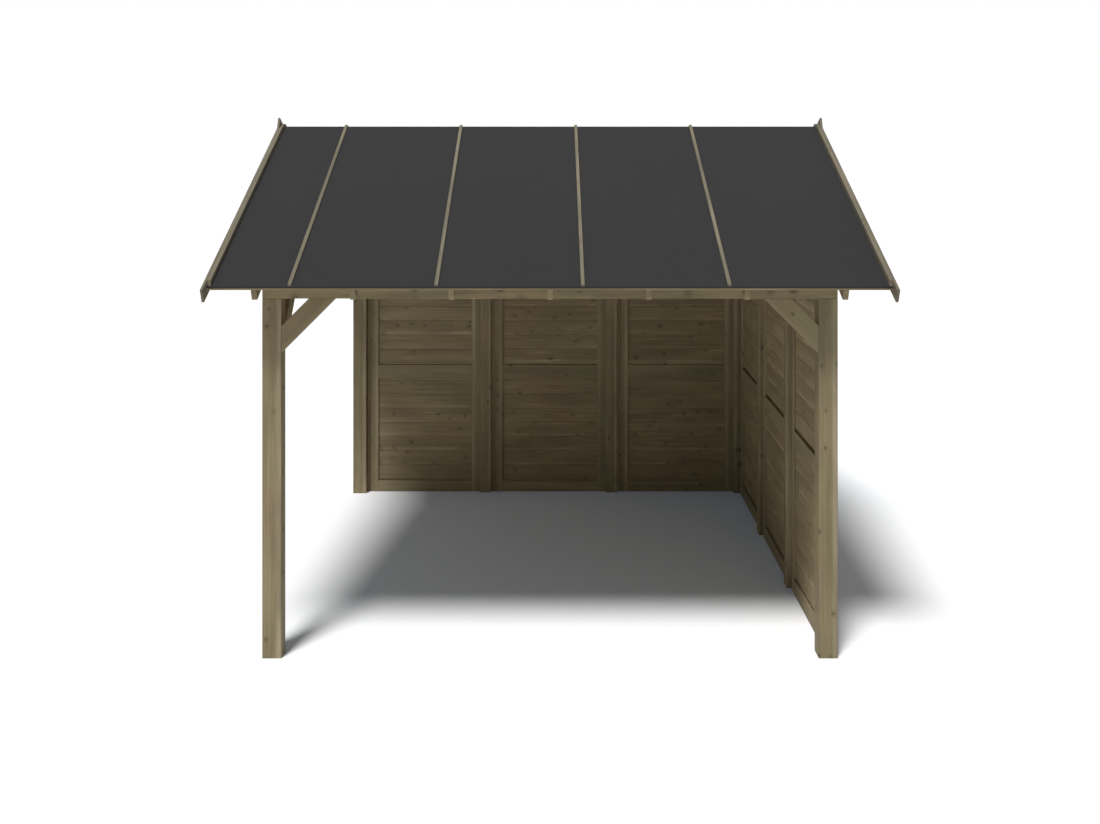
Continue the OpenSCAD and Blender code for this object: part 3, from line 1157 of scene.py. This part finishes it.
class PERGOLA_OT_fixings(bpy.types.Operator):
    """Screws of the braces and bargeboards, and nails of the laths"""

    bl_idname = "pergola.fixings"
    bl_label = "Screws and nails"

    def execute(self, context):
        s = context.scene.pergola_fixings
        screws = self.brace_screws() + self.verge_screws(s.verge_spacing)
        fixings("screws", screws, s.screw_head, SCREW_RECESS)
        fixings("nails", self.lath_nails(s.lath_spacing), s.nail_head, NAIL_RECESS)
        return {"FINISHED"}

    def brace_screws(self):
        """Two at each end of a brace, on its outer face."""
        found = []
        for node in (n for n in NODES if n.startswith("brace_")):
            solid = islands(NODES[node].data)[0]
            along, _, through = grain_axes(solid)
            points = [v.co for v in solid.verts]
            middle = sum(points, Vector()) / len(points)
            outward = through if through.dot(middle) > 0 else -through
            level = extent(points, outward)[1]
            ends = [p for p in points if abs(p.dot(outward) - level) < LEVEL]
            ends.sort(key=lambda p: p.dot(along))
            for pair in (ends[:2], ends[2:]):
                inner = (middle - (pair[0] + pair[1]) / 2).normalized() * BRACE_SCREW_INSET
                for share in BRACE_SCREW_SHARES:
                    spot = pair[0].lerp(pair[1], share) + inner
                    spot += outward * (level - spot.dot(outward))
                    found.append((spot, outward))
            solid.free()
        return found

    def verge_screws(self, spacing):
        """Pairs along each bargeboard's outer face."""
        found = []
        for node in BARGEBOARDS:
            solid = islands(NODES[node].data)[0]
            along, across, _ = grain_axes(solid)
            points = [v.co for v in solid.verts]
            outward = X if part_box(node)[1].x > 0 else -X
            level = extent(points, outward)[1]
            first, last = extent(points, along)
            middle = sum(extent(points, across)) / 2
            run = last - first - 2 * VERGE_SCREW_END
            count = int((last - first - VERGE_SCREW_SPARE) / spacing)
            for place in range(count + 1):
                reach = first + VERGE_SCREW_END + place * run / count
                for step in (-VERGE_SCREW_STEP, VERGE_SCREW_STEP):
                    spot = along * reach + across * (middle + step) + outward * level
                    found.append((spot, outward))
            solid.free()
        return found

    def lath_nails(self, spacing):
        """Along the middle of each lath, on both slopes."""
        found = []
        for lath in islands(NODES[LATHS].data):
            points = [v.co for v in lath.verts]
            x = sum(extent(points, X)) / 2
            for side in (-1, 1):
                pitch, reach = slope_frame(side)[1:]
                crown = max(p.z + abs(p.y) * math.tan(pitch) for p in points)
                run = reach / math.cos(pitch) - 2 * NAIL_END
                count = int(run / spacing)
                normal = Vector((0, side * math.sin(pitch), math.cos(pitch)))
                for place in range(count + 1):
                    far = (NAIL_END + place * run / count) * math.cos(pitch)
                    spot = Vector((x, side * far, crown - far * math.tan(pitch)))
                    found.append((spot, normal))
            lath.free()
        return found


def fixings(name, places, diameter, recess):
    """Makes the heads of screws or nails at (place, direction) pairs."""
    mesh = bpy.data.meshes.new(name)
    mesh.from_pydata([spot for spot, _ in places], [], [])
    facing = mesh.attributes.new("facing", "FLOAT_VECTOR", "POINT")
    for number, (_, direction) in enumerate(places):
        facing.data[number].vector = direction
    tree = bpy.data.node_groups.get("fixing_heads") or fixing_tree()
    values = {
        "Diameter": diameter,
        "Height": HEAD_HEIGHT,
        "Recess": recess,
        "Seed": HEAD_SEED,
        "Material": finish_of("coated_steel"),
    }
    piece(name, grown(name, tree, mesh, values), None, "coated_steel")


class PERGOLA_OT_stage(bpy.types.Operator):
    """Floor, lights and camera"""

    bl_idname = "pergola.stage"
    bl_label = "Stage"

    def execute(self, context):
        s = context.scene.pergola_stage
        self.floor(context.scene, s)
        self.sky(context.scene, s)
        self.sun(context.scene, s)
        self.camera(context.scene)
        context.scene.view_settings.view_transform = "Standard"
        return {"FINISHED"}

    def floor(self, scene, s):
        """A plain floor, which is a little paler where it is seen than where it lights the object, with a
        painted blue light, seen only by the camera, that cools its shade.
        """
        far = FLOOR_REACH
        mesh = bpy.data.meshes.new("floor")
        corners = [(-far, -far, 0), (far, -far, 0), (far, far, 0), (-far, far, 0)]
        mesh.from_pydata(corners, [], [(0, 1, 2, 3)])
        floor = bpy.data.objects.new("floor", mesh)
        scene.collection.objects.link(floor)
        material, tree = new_material("pale_floor")
        seen = showing(tree)
        shown = mix_colour(tree, seen, rgba(s.floor), rgba([s.floor_shown] * 3))
        lit = out(tree, "ShaderNodeBsdfDiffuse", {"Color": shown})
        # Painted light: a faint blue glow that only the camera sees, which cools the floor's shade
        glow = add(tree, "ShaderNodeEmission", {"Color": rgba(s.floor_glow), "Strength": seen})
        both = out(tree, "ShaderNodeAddShader", {0: lit, 1: glow.outputs[0]})
        add(tree, "ShaderNodeOutputMaterial", {"Surface": both})
        mesh.materials.append(material)

    def sky(self, scene, s):
        """Even light, and a white background."""
        world = bpy.data.worlds.new("studio")
        scene.world = world
        world.use_nodes = True
        tree = world.node_tree
        tree.nodes.clear()
        strength = ramp(tree, showing(tree), 0.0, 1.0, s.sky, 1.0)
        shader = add(tree, "ShaderNodeBackground", {"Color": (1, 1, 1, 1), "Strength": strength})
        add(tree, "ShaderNodeOutputWorld", {"Surface": shader.outputs[0]})

    def sun(self, scene, s):
        lamp = bpy.data.lights.new("key", "SUN")
        lamp.energy = s.sun
        lamp.angle = s.sun_angle
        sun = bpy.data.objects.new("key", lamp)
        scene.collection.objects.link(sun)
        sun.rotation_euler = SUN_TOWARDS.to_track_quat("-Z", "Y").to_euler()
        sun.location = -SUN_TOWARDS * SUN_AWAY

    def camera(self, scene):
        data = bpy.data.cameras.new("camera")
        camera = bpy.data.objects.new("camera", data)
        scene.collection.objects.link(camera)
        camera.location = EYE
        camera.rotation_euler = (math.pi / 2, 0.0, 0.0)
        data.sensor_width = SENSOR_MM
        data.lens = LENS_MM
        data.shift_y = LENS_SHIFT
        data.clip_end = VIEW_END
        scene.camera = camera


class PERGOLA_PT_panel(bpy.types.Panel):
    """Steps that dress the pergola"""

    bl_idname = "PERGOLA_PT_panel"
    bl_label = "Pergola"
    bl_space_type = "VIEW_3D"
    bl_region_type = "UI"
    bl_category = "Pergola"

    def draw(self, context):
        for step in STEPS:
            self.layout.operator(step.bl_idname)
        for group in GROUPS:
            box = self.layout.box()
            settings = getattr(context.scene, group)
            for name in settings.bl_rna.properties.keys():
                if name not in ("rna_type", "name"):
                    box.prop(settings, name)


GROUPS = {
    "pergola_timber": PergolaTimber,
    "pergola_boards": PergolaBoards,
    "pergola_roofing": PergolaRoofing,
    "pergola_fixings": PergolaFixings,
    "pergola_stage": PergolaStage,
}
STEPS = (
    PERGOLA_OT_square_timbers,
    PERGOLA_OT_planks,
    PERGOLA_OT_walls,
    PERGOLA_OT_roof_boards,
    PERGOLA_OT_felt,
    PERGOLA_OT_trim,
    PERGOLA_OT_fixings,
    PERGOLA_OT_stage,
)


def register():
    for kind in (*GROUPS.values(), *STEPS, PERGOLA_PT_panel):
        bpy.utils.register_class(kind)
    for name, kind in GROUPS.items():
        setattr(bpy.types.Scene, name, bpy.props.PointerProperty(type=kind))


def unregister():
    for name in GROUPS:
        delattr(bpy.types.Scene, name)
    for kind in reversed((*GROUPS.values(), *STEPS, PERGOLA_PT_panel)):
        bpy.utils.unregister_class(kind)


def main():
    register()
    for step in STEPS:
        group, name = step.bl_idname.split(".")
        getattr(getattr(bpy.ops, group), name)()


if __name__ == "__main__":
    main()
